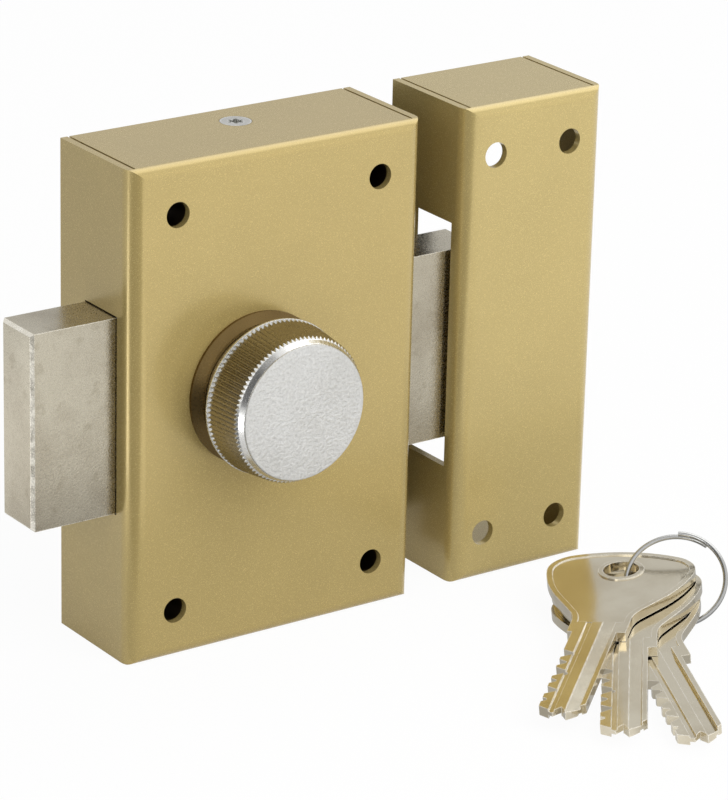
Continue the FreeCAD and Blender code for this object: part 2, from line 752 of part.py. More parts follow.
def pin_springs():
    """The springs under the drivers, as plain sleeves of their outline."""
    z0 = chamber_floor()
    z1 = shear(plug_r + 0.1 + driver_length)
    return [sleeve(pin_spring_r, spring_wall, V(axis_x, y, z0), Z, z1 - z0) for y in pin_ys()]


def chamber_plugs():
    return [rod(pin_r, V(axis_x, y, chamber_floor() - cap_length), Z, cap_length)
            for y in pin_ys()]


def cylinder_screws():
    screws = []
    for x, z in cyl_screw_places():
        shank = rod(cyl_screw_r, V(x, plate_front - 1, z), Y, cyl_screw_length)
        head = rod(cyl_screw_r + 1.7, V(x, plate_front - 2.4, z), Y, 2.4)
        head = head.makeChamfer(0.7, edges_where(head, lambda p: p.y < plate_front - 2.3))
        cross = [box(x - a, x + a, plate_front - 3, plate_front - 1, z - b, z + b)
                 for a, b in ((2.2, 0.4), (0.4, 2.2))]
        screws.append(head.fuse(shank).cut(cross[0].fuse(cross[1])).removeSplitter())
    return screws


# Keeper

def keeper():
    body = folded_box(keeper_width)
    cuts = [rod(keeper_hole_r, V(x, front - 1, z), Y, sheet + 2)
            for x, z in fixing_places(keeper_hole_across, keeper_hole_up, keeper_hole_shift)]
    window = box(-FAR, 0, front + window_front, front + window_front + window_depth,
                 bolt_z - window_height / 2, bolt_z + window_height / 2)
    cuts.append(window)
    return body.cut(Part.makeCompound(cuts)).translated(V(keeper_x, 0, 0))


# Keys and ring

def bow_face(inset, end):
    """The bow's outline, drawn in evenly by inset and cut square across the neck at end."""
    lean = math.radians(bow_lean)
    leave = math.radians(bow_side_from)
    # The crown's arc touches both corner arcs and passes bow_top behind the hole.
    reach = bow_top - bow_corner_r
    back = (bow_corner ** 2 + bow_corner_u ** 2 - reach ** 2) / (2 * (reach + bow_corner_u))
    crown = math.pi - math.atan(bow_corner / (back - bow_corner_u))
    side_u = bow_corner_u - (bow_side_r - bow_corner_r) * math.cos(leave)
    side_v = bow_corner - (bow_side_r - bow_corner_r) * math.sin(leave)
    flare = bow_flare_r + inset

    def on_arc(side, u, v, r, a):
        return V(u + r * math.cos(a), side * (v + r * math.sin(a)), 0)

    def half_outline(side, neck):
        """Corner, slow side, straight, flare and neck edge, from the crown to the cut end."""
        def corner(a):
            return on_arc(side, bow_corner_u, bow_corner, bow_corner_r - inset, a)

        def flank(a):
            return on_arc(side, side_u, side_v, bow_side_r - inset, a)

        def hollow(a):
            return on_arc(side, u, neck + flare, -flare, a)
        neck = neck - inset
        line = side_u * math.cos(lean) + side_v * math.sin(lean) + bow_side_r - inset
        u = (line + flare - (neck + flare) * math.sin(lean)) / math.cos(lean)
        turn = (lean + math.pi / 2) / 2
        return [
            Part.Arc(corner(crown), corner((crown + leave) / 2), corner(leave)),
            Part.Arc(flank(leave), flank((leave + lean) / 2), flank(lean)),
            Part.LineSegment(flank(lean), hollow(lean)),
            Part.Arc(hollow(lean), hollow(turn), hollow(math.pi / 2)),
            Part.LineSegment(hollow(math.pi / 2), V(end, side * neck, 0)),
        ]
    left = half_outline(1, neck_stop)
    right = half_outline(-1, neck_plain)
    edges = [Part.Arc(right[0].StartPoint, V(inset - bow_top, 0, 0), left[0].StartPoint)]
    edges += left + [Part.LineSegment(left[-1].EndPoint, right[-1].EndPoint)] + right
    return Part.Face(Part.Wire(Part.__sortEdges__([e.toShape() for e in edges])))


def key_flutes():
    """Cutting tools for the grooves along both faces, which run out towards the bow."""
    half = key_thick / 2
    tools = []
    for side, v0, v1, deep in ((1, 0.9, 3.4, 0.75), (1, -2.3, -1.2, 0.45),
                               (-1, -2.3, -0.1, 0.7), (-1, 3.0, 3.6, 0.4)):
        profile = [V(flute_fade, v0, half), V(key_blade_start + 0.6, v0, half - deep),
                   V(FAR, v0, half - deep), V(FAR, v0, half + 3), V(flute_fade, v0, half + 3)]
        tool = prism(profile, Y * (v1 - v0))
        tools.append(tool if side > 0 else tool.mirror(V(0, 0, 0), Z))
    return tools


def key_blank():
    """Bow, neck, blade and cuts in the key's own frame: +X to the tip, +Z up."""
    half = key_thick / 2
    bow = bow_face(0, key_blade_start).extrude(Z * key_thick).translated(Z * -half)
    dish = bow_face(bow_rim, dish_end).extrude(Z * bow_dish)
    dish = dish.cut(rod(key_hole_r + 1.0, V(0, 0, -1), Z, 5))
    cuts = [dish.translated(Z * (half - bow_dish)), dish.translated(Z * -half),
            rod(key_hole_r, V(0, 0, -key_thick), Z, 2 * key_thick)] + key_flutes()
    return bow.fuse(key_blade()).cut(Part.makeCompound(cuts)).removeSplitter()


def key_blade():
    """A blade with angled cuts on one edge and a forked tip."""
    half = key_thick / 2
    w = key_blade_half
    tip = key_tip
    outline = [V(key_blade_start - 1, w, 0), V(tip - 3.2, w, 0), V(tip - 0.9, w - 2.3, 0),
               V(tip, 1.0, 0), V(tip - 1.7, 0.0, 0), V(tip, -1.5, 0), V(tip - 1.9, -w, 0)]
    x = tip - 4.6
    for cut in key_cuts:
        outline += [V(x + cut * 0.6 + 0.3, -w, 0), V(x + 0.3, -w + cut, 0),
                    V(x - 0.3, -w + cut, 0), V(x - cut * 0.6 - 0.3, -w, 0)]
        x -= key_cut_pitch
    outline.append(V(key_blade_start - 1, -w, 0))
    return prism([p - Z * half for p in outline], Z * key_thick)


def stack_normal():
    t, h = math.radians(key_tilt), math.radians(key_tilt_heading)
    return V(math.cos(h) * math.sin(t), math.sin(h) * math.sin(t), math.cos(t))


def key_matrix(index, hole):
    """Turn a key to its heading in the leaning stack, with its hole's middle at a place."""
    normal = stack_normal()
    a = math.radians(key_headings[index])
    along = V(math.cos(a), math.sin(a), 0)
    along = along - normal * along.dot(normal)
    along.normalize()
    across = normal.cross(along)
    return FreeCAD.Matrix(along.x, across.x, normal.x, hole.x,
                          along.y, across.y, normal.y, hole.y,
                          along.z, across.z, normal.z, hole.z, 0, 0, 0, 1)


def key_holes(blank):
    """The lowest key rests just above the surface; the others lie on the layers over it."""
    last = len(key_steps) - 1
    normal = stack_normal()
    low = first_key + key_steps[last]
    flat = placed(blank, key_matrix(last, low))
    low.z = -top + key_rest - min(p.z for p in flat.tessellate(0.05)[0])
    holes = []
    for i, step in enumerate(key_steps):
        hole = first_key + step
        away = hole - low
        lift = (key_thick + key_gap) * (last - i)
        hole.z = low.z + (lift - normal.x * away.x - normal.y * away.y) / normal.z
        print("key", i + 1, "hole", [round(c, 3) for c in hole],
              "normal", [round(c, 5) for c in normal])
        holes.append(hole)
    return holes


def keys():
    blank = key_blank()
    holes = key_holes(blank)
    return [placed(blank, key_matrix(i, hole)) for i, hole in enumerate(holes)], holes


def placed(shape, matrix):
    copy = shape.copy()
    copy.Placement = FreeCAD.Placement(matrix)
    return copy


def key_ring(hole):
    """One round wire, a full turn and a lap, with its ends side by side."""
    turns = 1 + ring_lap / 360
    ring = coil(ring_r, ring_wire_r, ring_pitch, turns)
    lower = FreeCAD.Placement(V(0, 0, -ring_pitch * turns / 2), FreeCAD.Rotation())
    spin = FreeCAD.Placement(V(0, 0, 0), FreeCAD.Rotation(Z, ring_start))
    lean = FreeCAD.Placement(hole + ring_from_hole, FreeCAD.Rotation(Z, ring_normal))
    ring.Placement = lean.multiply(spin).multiply(lower)
    return ring


def main():
    os.makedirs("parts", exist_ok=True)
    single = {
        "case_cover": case_cover, "back_plate": back_plate,
        "bolt_guide_upper": bolt_guide_upper, "bolt_guide_lower": bolt_guide_lower,
        "detent_barrel": detent_barrel, "detent_spring": detent_spring, "bolt": bolt,
        "rack_bar": rack_bar, "pinion": pinion, "spindle": spindle,
        "spindle_clip": spindle_clip, "knob": knob, "knob_set_screw": knob_set_screw,
        "knob_collar": knob_collar, "collar_nut": collar_nut, "cylinder_body": cylinder_body,
        "cylinder_plug": cylinder_plug, "plug_clip": plug_clip, "tailpiece": tailpiece,
        "tail_pin": tail_pin, "keeper": keeper,
    }
    grouped = {
        "spacer_tubes": spacer_tubes, "guide_rivets": guide_rivets, "rack_screws": rack_screws,
        "key_pins": key_pins, "driver_pins": driver_pins, "pin_springs": pin_springs,
        "chamber_plugs": chamber_plugs, "cylinder_screws": cylinder_screws,
    }
    for name, make in single.items():
        export(name, [make()])
    for name, make in grouped.items():
        export(name, make())
    export("cover_screws", [cover_screw(1), cover_screw(-1)])
    export("detent_ball", [Part.makeSphere(ball_r, V(detent_x, bolt_mid_y, ball_centre_z()))])
    cut_keys, holes = keys()
    for i, key in enumerate(cut_keys):
        export("key_%d" % (i + 1), [key])
    export("key_ring", [key_ring(holes[0])])


main()
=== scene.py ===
# %% [markdown]
# A rim deadbolt, dressed for a product picture.
# The lock is already built as solid pieces: a folded steel case with a knurled thumb knob,
# a bolt that runs right through it, a keeper, a round key cylinder behind, and keys on a
# wire ring. This lesson gives those solids their finishes, softens the edges that catch
# the light, and sets up a pale studio. Lengths are in metres throughout.

# %% Load the solids
import json
import math
import bmesh
import bpy
from mathutils import Matrix, Vector

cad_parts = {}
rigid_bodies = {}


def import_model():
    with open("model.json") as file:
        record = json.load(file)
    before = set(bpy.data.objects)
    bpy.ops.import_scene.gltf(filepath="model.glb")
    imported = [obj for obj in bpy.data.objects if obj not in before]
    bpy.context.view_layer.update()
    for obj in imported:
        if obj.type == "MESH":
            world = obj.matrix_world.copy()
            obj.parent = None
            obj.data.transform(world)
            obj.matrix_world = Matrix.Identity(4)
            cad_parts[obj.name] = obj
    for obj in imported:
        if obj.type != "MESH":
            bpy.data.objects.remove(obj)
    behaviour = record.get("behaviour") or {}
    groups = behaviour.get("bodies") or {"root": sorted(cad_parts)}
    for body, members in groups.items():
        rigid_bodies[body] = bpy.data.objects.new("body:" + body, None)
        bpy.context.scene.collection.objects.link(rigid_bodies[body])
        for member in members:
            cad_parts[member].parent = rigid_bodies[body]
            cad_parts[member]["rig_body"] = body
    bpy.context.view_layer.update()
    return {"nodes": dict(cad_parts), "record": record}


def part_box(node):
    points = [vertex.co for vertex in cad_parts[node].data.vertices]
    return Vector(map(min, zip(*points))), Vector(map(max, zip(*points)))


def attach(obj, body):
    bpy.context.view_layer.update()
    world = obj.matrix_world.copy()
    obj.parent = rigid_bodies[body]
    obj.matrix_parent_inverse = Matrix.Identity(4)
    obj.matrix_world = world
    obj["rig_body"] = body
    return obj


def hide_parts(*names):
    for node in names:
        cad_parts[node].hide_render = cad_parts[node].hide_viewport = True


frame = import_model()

nodes = frame["nodes"]
record = frame["record"]
MM = 0.001

# %% [markdown]
# Colours are easiest to pick as the hex codes of a paint card, but a renderer adds light in
# linear numbers. One small function changes the one into the other, so every finish below
# can be written as a hex code.


# %% A colour from its hex code
def paint(code):
    channels = [int(code[i:i + 2], 16) / 255 for i in (1, 3, 5)]
    return [c / 12.92 if c <= 0.04045 else ((c + 0.055) / 1.055) ** 2.4
            for c in channels] + [1.0]


case_gold, keeper_gold = "#B39E62", "#B9A569"
print("the case's gold in linear light:", [round(c, 3) for c in paint(case_gold)])

# %% [markdown]
# A material is a small tree of nodes. These two helpers add a node with its settings and
# join it to others in one line, which keeps each finish short enough to read as a recipe.


# %% Helpers for node trees
def add(tree, kind, links=None, **settings):
    """A node of this kind: settings are attributes, links are socket name to value or socket."""
    node = tree.nodes.new("ShaderNode" + kind)
    for name, value in settings.items():
        setattr(node, name, value)
    for name, value in (links or {}).items():
        socket = node.inputs[name]
        if isinstance(value, bpy.types.NodeSocket):
            tree.links.new(value, socket)
        else:
            socket.default_value = value
    return node


def ramp(tree, source, *stops):
    """A colour ramp on source, with stops of (place, grey or colour)."""
    node = add(tree, "ValToRGB", {"Fac": source})
    elements = node.color_ramp.elements
    while len(elements) < len(stops):
        elements.new(0.5)
    for element, (place, tone) in zip(elements, stops):
        element.position = place
        element.color = tone if isinstance(tone, (list, tuple)) else (tone, tone, tone, 1)
    return node.outputs["Color"]


def blend_colours(tree, amount, first, second, how="MIX"):
    node = add(tree, "Mix", data_type="RGBA", blend_type=how)
    for socket, value in zip([node.inputs["Factor"]] + [s for s in node.inputs
                             if s.type == "RGBA"], (amount, first, second)):
        if isinstance(value, bpy.types.NodeSocket):
            tree.links.new(value, socket)
        else:
            socket.default_value = value
    return [s for s in node.outputs if s.type == "RGBA"][0]


def new_group(name, inputs, outputs):
    """A shader group with named sockets; returns the tree, its inputs and its output node."""
    tree = bpy.data.node_groups.new(name, "ShaderNodeTree")
    for label, kind, value in inputs:
        socket = tree.interface.new_socket(label, in_out="INPUT", socket_type="NodeSocket" + kind)
        socket.default_value = value
    for label, kind in outputs:
        tree.interface.new_socket(label, in_out="OUTPUT", socket_type="NodeSocket" + kind)
    return tree, tree.nodes.new("NodeGroupInput").outputs, tree.nodes.new("NodeGroupOutput")


def new_material(name):
    material = bpy.data.materials.new(name)
    material.use_nodes = True
    tree = material.node_tree
    tree.nodes.clear()
    shader = tree.nodes.new("ShaderNodeBsdfPrincipled")
    out = tree.nodes.new("ShaderNodeOutputMaterial")
    tree.links.new(shader.outputs["BSDF"], out.inputs["Surface"])
    return material, tree, shader


def use_group(tree, group, **values):
    node = tree.nodes.new("ShaderNodeGroup")
    node.node_tree = group
    for name, value in values.items():
        socket = node.inputs[name.replace("_", " ")]
        socket.default_value = value
    return node.outputs


print("helpers ready")

# %% [markdown]
# Metallic lacquer is paint with flakes of metal in it. Up close it has a faint orange peel
# and tiny bright and dark flakes. Three noises at three sizes make it: flakes of a sixth of
# a millimetre, a wide and very weak mottle, and the peel, which goes into a bump and not
# into the colour.

# %% Group: metallic lacquer
lacquer, given, out = new_group(
    "metallic lacquer",
    [("Base", "Color", paint(case_gold)), ("Flake size", "Float", 0.16),
     ("Flakes", "Float", 0.5), ("Peel", "Float", 0.3), ("Roughness", "Float", 0.3)],
    [("Colour", "Color"), ("Roughness", "Float"), ("Normal", "Vector")])
place = add(lacquer, "TexCoord").outputs["Object"]
per_metre = add(lacquer, "Math", {0: 1000.0, 1: given["Flake size"]}, operation="DIVIDE")
flakes = add(lacquer, "TexNoise", {"Vector": place, "Scale": per_metre.outputs[0],
                                   "Detail": 2.0, "Roughness": 0.6})
mottle = add(lacquer, "TexNoise", {"Vector": place, "Scale": 90.0, "Detail": 3.0})
peel = add(lacquer, "TexNoise", {"Vector": place, "Scale": 1100.0, "Detail": 1.0})
dark = blend_colours(lacquer, 0.34, given["Base"], paint("#5A4420"))
light = blend_colours(lacquer, 0.30, given["Base"], paint("#FFF4CC"))
flaked = blend_colours(lacquer, ramp(lacquer, flakes.outputs["Fac"], (0.32, 0.0), (0.68, 1.0)),
                       dark, light)
colour = blend_colours(lacquer, given["Flakes"], given["Base"], flaked)
soft = ramp(lacquer, mottle.outputs["Fac"], (0.3, 0.975), (0.7, 1.015))
colour = blend_colours(lacquer, 1.0, colour, soft, "MULTIPLY")
swing = add(lacquer, "MapRange", {"Value": flakes.outputs["Fac"], "To Min": -0.06,
                                  "To Max": 0.06})
rough = add(lacquer, "Math", {0: swing.outputs["Result"], 1: given["Roughness"]},
            operation="ADD")
bump = add(lacquer, "Bump", {"Strength": given["Peel"], "Distance": 0.00003,
                             "Height": peel.outputs["Fac"]})
lacquer.links.new(colour, out.inputs["Colour"])
lacquer.links.new(rough.outputs[0], out.inputs["Roughness"])
lacquer.links.new(bump.outputs["Normal"], out.inputs["Normal"])
print("group:", lacquer.name)

# %% [markdown]
# Plated metal is never perfectly even. Under the shine there are fine pits, and a
# cloudiness where the plate was polished more or less. The second group gives any metal
# those marks: a cloud in the colour, pits in the bump, and in the roughness a fine grain,
# which can be squeezed along one axis to look turned.

# %% Group: worked metal
worked, given, out = new_group(
    "worked metal",
    [("Base", "Color", paint("#C8C4BA")), ("Tarnish", "Color", paint("#8C7F66")),
     ("Cloud", "Float", 0.35), ("Roughness", "Float", 0.3), ("Grain", "Float", 0.2),
     ("Stretch", "Vector", (1.0, 1.0, 1.0)), ("Pits", "Float", 0.1)],
    [("Colour", "Color"), ("Roughness", "Float"), ("Normal", "Vector")])
place = add(worked, "TexCoord").outputs["Object"]
stretched = add(worked, "VectorMath", {0: place, 1: given["Stretch"]}, operation="MULTIPLY")
cloud = add(worked, "TexNoise", {"Vector": place, "Scale": 70.0, "Detail": 4.0})
grain = add(worked, "TexNoise", {"Vector": stretched.outputs[0], "Scale": 2200.0, "Detail": 3.0})
pits = add(worked, "TexNoise", {"Vector": place, "Scale": 2600.0, "Detail": 2.0})
cloudy = add(worked, "Math", {0: ramp(worked, cloud.outputs["Fac"], (0.38, 0.0), (0.66, 1.0)),
                              1: given["Cloud"]}, operation="MULTIPLY")
colour = blend_colours(worked, cloudy.outputs[0], given["Base"], given["Tarnish"])
swing = add(worked, "MapRange", {"Value": grain.outputs["Fac"], "From Min": 0.25,
                                 "From Max": 0.75, "To Min": -0.5, "To Max": 0.5})
swung = add(worked, "Math", {0: swing.outputs["Result"], 1: given["Grain"]},
            operation="MULTIPLY")
rough = add(worked, "Math", {0: swung.outputs[0], 1: given["Roughness"]}, operation="ADD",
            use_clamp=True)
bump = add(worked, "Bump", {"Strength": given["Pits"], "Distance": 0.00004,
                            "Height": pits.outputs["Fac"]})
worked.links.new(colour, out.inputs["Colour"])
worked.links.new(rough.outputs[0], out.inputs["Roughness"])
worked.links.new(bump.outputs["Normal"], out.inputs["Normal"])
print("group:", worked.name)

# %% [markdown]
# Edges that hands, doors and other metal rub against go bright, and the thin line of light along
# a rounded edge is painted in with them. The third group finds them: it asks for the surface
# normal as if the edges were rounded, and compares that with the real one. They differ only near
# an edge, and a noise breaks the line up. So the bright edge is partly wear and partly a painted
# highlight. A chamfer is too wide to be found that way, but its normal lies along none of the
# three axes, so it can be brightened by that, which is a painted highlight.

# %% Group: worn edges and painted highlights
wear_and_highlight, given, out = new_group(
    "worn edges and painted highlights", [("Width", "Float", 0.0004), ("Break up", "Float", 0.5),
                     ("Chamfers", "Float", 0.0)],
    [("Edge", "Float")])
# Marks the edges and chamfers that get a bright colour: partly wear, partly a painted highlight.
rounded = add(wear_and_highlight, "Bevel", {"Radius": given["Width"]}, samples=4)
real = add(wear_and_highlight, "NewGeometry").outputs["Normal"]
same = add(wear_and_highlight, "VectorMath", {0: rounded.outputs["Normal"], 1: real},
           operation="DOT_PRODUCT")
near_edge = add(wear_and_highlight, "MapRange", {"Value": same.outputs["Value"], "From Min": 0.995,
                                     "From Max": 0.90})
unsigned = add(wear_and_highlight, "VectorMath", {0: real}, operation="ABSOLUTE")
along = add(wear_and_highlight, "SeparateXYZ", {0: unsigned.outputs[0]}).outputs
larger = add(wear_and_highlight, "Math", {0: along["X"], 1: along["Y"]}, operation="MAXIMUM")
largest = add(wear_and_highlight, "Math", {0: larger.outputs[0], 1: along["Z"]}, operation="MAXIMUM")
slanting = add(wear_and_highlight, "MapRange", {"Value": largest.outputs[0], "From Min": 0.99,
                                    "From Max": 0.93})
chamfer = add(wear_and_highlight, "Math", {0: slanting.outputs["Result"], 1: given["Chamfers"]},
              operation="MULTIPLY")
edge = add(wear_and_highlight, "Math", {0: near_edge.outputs["Result"], 1: chamfer.outputs[0]},
           operation="MAXIMUM")
place = add(wear_and_highlight, "TexCoord").outputs["Object"]
patch = add(wear_and_highlight, "TexNoise", {"Vector": place, "Scale": 500.0, "Detail": 3.0})
broken = add(wear_and_highlight, "MapRange", {"Value": patch.outputs["Fac"], "From Min": 0.35,
                                  "From Max": 0.6})
kept = add(wear_and_highlight, "Mix", {0: given["Break up"], 2: 1.0, 3: broken.outputs["Result"]},
           data_type="FLOAT")
mask = add(wear_and_highlight, "Math", {0: edge.outputs[0], 1: kept.outputs[0]}, operation="MULTIPLY")
wear_and_highlight.links.new(mask.outputs[0], out.inputs["Edge"])
print("group:", wear_and_highlight.name)

# %% [markdown]
# Now the finishes themselves. The case and the keeper wear the same champagne lacquer. Most
# of its light comes back from the flakes, as from metal, and a thin clear layer on top gives
# the folds their crisp line of light.


# %% Finish: champagne lacquer
def lacquered(name, base):
    material, tree, shader = new_material(name)
    surface = use_group(tree, lacquer, Base=paint(base), Flake_size=0.16, Flakes=0.17,
                        Peel=0.15, Roughness=0.26)
    for socket, label in (("Base Color", "Colour"), ("Roughness", "Roughness"),
                          ("Normal", "Normal")):
        tree.links.new(surface[label], shader.inputs[socket])
    shader.inputs["Metallic"].default_value = 0.38
    shader.inputs["Coat Weight"].default_value = 0.25
    shader.inputs["Coat Roughness"].default_value = 0.12
    return material


finishes = {"case_paint": lacquered("case champagne lacquer", case_gold),
            "keeper_paint": lacquered("keeper champagne lacquer", keeper_gold)}
print("lacquers:", [m.name for m in finishes.values()])

# %% [markdown]
# Everything else on this lock is bare or plated metal. One function covers them all: a base
# colour, the colour it clouds towards, and how rough, grainy and pitted it is. Bright edges and
# small dark spots are added only where the real piece shows them. The bright edges are partly
# wear and partly a painted highlight, and bright chamfers are a painted highlight. A worn edge is
# frosted, and the painted highlight must show as pale colour, so the edge is made less metallic
# there.


# %% Finish: plated and bare metals
def metal(name, base, tarnish, roughness, cloud=0.35, grain=0.15, stretch=(1, 1, 1), pits=0.1,
          edge=None, edge_width=0.0004, chamfer_highlight=0.0, spots=0.0):
    material, tree, shader = new_material(name)
    surface = use_group(tree, worked, Base=paint(base), Tarnish=paint(tarnish), Cloud=cloud,
                        Roughness=roughness, Grain=grain, Stretch=stretch, Pits=pits)
    colour = surface["Colour"]
    shader.inputs["Metallic"].default_value = 1.0
    if spots:
        drops = add(tree, "TexNoise", {"Vector": add(tree, "TexCoord").outputs["Object"],
                                       "Scale": 420.0, "Detail": 1.0})
        faint = add(tree, "MapRange", {"Value": drops.outputs["Fac"], "From Min": 0.62,
                                       "From Max": 0.74, "To Max": spots})
        colour = blend_colours(tree, faint.outputs["Result"], colour, paint("#7F745C"))
    if edge:
        # Bright edges painted into the colour: partly wear, partly a painted highlight. Bright
        # chamfers: a painted highlight.
        mask = use_group(tree, wear_and_highlight, Width=edge_width, Chamfers=chamfer_highlight)["Edge"]
        colour = blend_colours(tree, mask, colour, paint(edge))
        less_metal_on_edges = add(tree, "Math", {0: mask, 1: -0.7, 2: 1.0}, operation="MULTIPLY_ADD")
        tree.links.new(less_metal_on_edges.outputs[0], shader.inputs["Metallic"])
    tree.links.new(colour, shader.inputs["Base Color"])
    tree.links.new(surface["Roughness"], shader.inputs["Roughness"])
    tree.links.new(surface["Normal"], shader.inputs["Normal"])
    return material


finishes.update({
    "zinc_steel": metal("zinc plated steel", "#BDBDB6", "#9FA49C", 0.35, cloud=0.5),
    "zinc_screw": metal("bright zinc screw", "#D6D6D3", "#A9A9A2", 0.22, edge="#F4F4F0"),
    "bolt_nickel": metal("satin nickel bolt", "#C2BBA9", "#8F8471", 0.27, cloud=0.5,
                         grain=0.16, pits=0.5, edge="#F4EFE2", edge_width=0.0003,
                         chamfer_highlight=1.0, spots=0.2),
    "cast_zinc": metal("cast zinc block", "#A2A29D", "#85857F", 0.5, pits=0.6),
    "gear_steel": metal("oiled steel", "#96948E", "#6B675E", 0.3, grain=0.25),
    "spring_steel": metal("spring steel", "#8A8985", "#63615C", 0.25),
    # The collar's dark brown is painted shade and a painted reflection of the gold case.
    "collar_bronze": metal("collar in painted shade and reflection", "#7A653F", "#4A3C24", 0.3),
    "cylinder_brass": metal("satin brass", "#C9A95C", "#9C7D3A", 0.28, grain=0.2,
                            stretch=(1, 8, 1)),
    "key_nickel": metal("polished nickel key", "#DCD4C0", "#B0A182", 0.14, cloud=0.4,
                        grain=0.08, pits=0.12, edge="#F6F2E8", edge_width=0.0003),
    "ring_steel": metal("bright wire", "#BBBBB9", "#8E8F8E", 0.2, cloud=0.3),
})
print("finishes:", len(finishes))

# %% [markdown]
# The knob is one casting with three surfaces. Its face keeps the fine rough skin of the mould,
# its nose is turned smooth, and its grip is knurled. Over the teeth a brown tone is painted in: a
# painted reflection of the shaded gold case, which the bright knurl mirrors. The distance in
# front of the door tells them apart, so the masks below are made from the object's own Y
# coordinate.

# %% Finish: knob nickel
knob_low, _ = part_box("knob")
face_y = knob_low[1]
painted_reflection_from, painted_reflection_to = 2.1 * MM, 9.5 * MM
grip_front, grip_back = face_y + painted_reflection_from, face_y + painted_reflection_to
knob_finish, tree, shader = new_material("knob nickel")
surface = use_group(tree, worked, Base=paint("#E6E6E4"), Tarnish=paint("#C2C0B8"), Cloud=0.25,
                    Roughness=0.24, Grain=0.12, Pits=0.1)
depth = add(tree, "SeparateXYZ", {0: add(tree, "TexCoord").outputs["Object"]}).outputs["Y"]
on_face = add(tree, "MapRange", {"Value": depth, "From Min": face_y + 0.2 * MM,
                                 "From Max": face_y + 0.1 * MM})
past_nose = add(tree, "Math", {0: depth, 1: grip_front}, operation="GREATER_THAN")
before_rim = add(tree, "Math", {0: depth, 1: grip_back}, operation="LESS_THAN")
grip = add(tree, "Math", {0: past_nose.outputs[0], 1: before_rim.outputs[0]},
           operation="MULTIPLY")
# Painted reflection: the grip band is tinted brown for the shaded gold case that the knurl
# mirrors.
painted_case_reflection = add(tree, "Math", {0: grip.outputs[0], 1: 0.8}, operation="MULTIPLY")
colour = blend_colours(tree, painted_case_reflection.outputs[0], surface["Colour"], paint("#8C7F5E"))
skin_noise = add(tree, "TexNoise", {"Vector": add(tree, "TexCoord").outputs["Object"],
                                    "Scale": 1600.0, "Detail": 3.0, "Roughness": 0.65})
speckle = ramp(tree, skin_noise.outputs["Fac"], (0.35, 0.84), (0.62, 1.0))
colour = blend_colours(tree, on_face.outputs["Result"], colour,
                       blend_colours(tree, 1.0, colour, speckle, "MULTIPLY"))
height = add(tree, "Math", {0: skin_noise.outputs["Fac"], 1: on_face.outputs["Result"]},
             operation="MULTIPLY")
worn_teeth = add(tree, "Bevel", {"Radius": 0.25 * MM}, samples=6)
cast_skin = add(tree, "Bump", {"Strength": 0.9, "Distance": 0.0002, "Height": height.outputs[0],
                               "Normal": worn_teeth.outputs["Normal"]})
dull = add(tree, "Math", {0: on_face.outputs["Result"], 1: 0.1, 2: surface["Roughness"]},
           operation="MULTIPLY_ADD")
tree.links.new(colour, shader.inputs["Base Color"])
tree.links.new(dull.outputs[0], shader.inputs["Roughness"])
tree.links.new(cast_skin.outputs["Normal"], shader.inputs["Normal"])
shader.inputs["Metallic"].default_value = 1.0
finishes["knob_nickel"] = knob_finish
print("knob face at y", round(face_y / MM, 2), "mm")

# %% [markdown]
# Each solid names the slot that its finish comes from. The solids keep their own meshes;
# only the material in their slot changes.

# %% Dress the solids
slot_of = {entry["node"]: entry["material_slot"] for entry in record["subparts"]}
for name, solid in nodes.items():
    solid.data.materials.clear()
    solid.data.materials.append(finishes[slot_of[name]])
nodes["spacer_tubes"].data.materials[0] = metal("oiled dark tube", "#4A3D28", "#2C2416", 0.5)
print("dressed:", len(nodes))

# %% [markdown]
# A machined or pressed edge is never a perfect corner, and the thin bright line along it is
# half of what makes metal look like metal. A copy of the solid is welded into one skin, the
# flat faces are joined up again, and a narrow bevel goes round the sharp edges. The floor of
# each key's wide flute is tilted a little here too. The corners to lift are found in the
# key's own directions: along it from the hole, across it, and up from its middle.

# %% Where the keys lie, and their wide flute, in millimetres
keys_face = Vector((-0.110165, 0.043395, 0.992966))
key_lies = {"key_1": ((65.61, -52.25, -42.678), 221.0),
            "key_2": ((64.41, -55.63, -44.728), 231.13),
            "key_3": ((62.99, -57.2, -46.881), 245.16)}
flute_start = 28.0
flute_near, flute_far = 0.9, 3.4
flute_floor = 0.25
flute_lift = 0.5
close = 0.02
print("keys:", sorted(key_lies))


# %% Eased edges
def slant_flute(skin, hole, normal, heading):
    """Lift the near side of the wide flute's floor, so that the floor slants."""
    along = Vector((math.cos(heading), math.sin(heading), 0.0))
    along = (along - normal * along.dot(normal)).normalized()
    across = normal.cross(along)
    lifted = 0
    for corner in skin.verts:
        reach = corner.co - hole
        u, v, w = (reach.dot(way) / MM for way in (along, across, normal))
        in_flute = flute_near - close < v < flute_far + close and u > flute_start
        if in_flute and abs(w - flute_floor) < close:
            share = (flute_far - v) / (flute_far - flute_near)
            corner.co += normal * (flute_lift * share * MM)
            lifted += 1
    return lifted


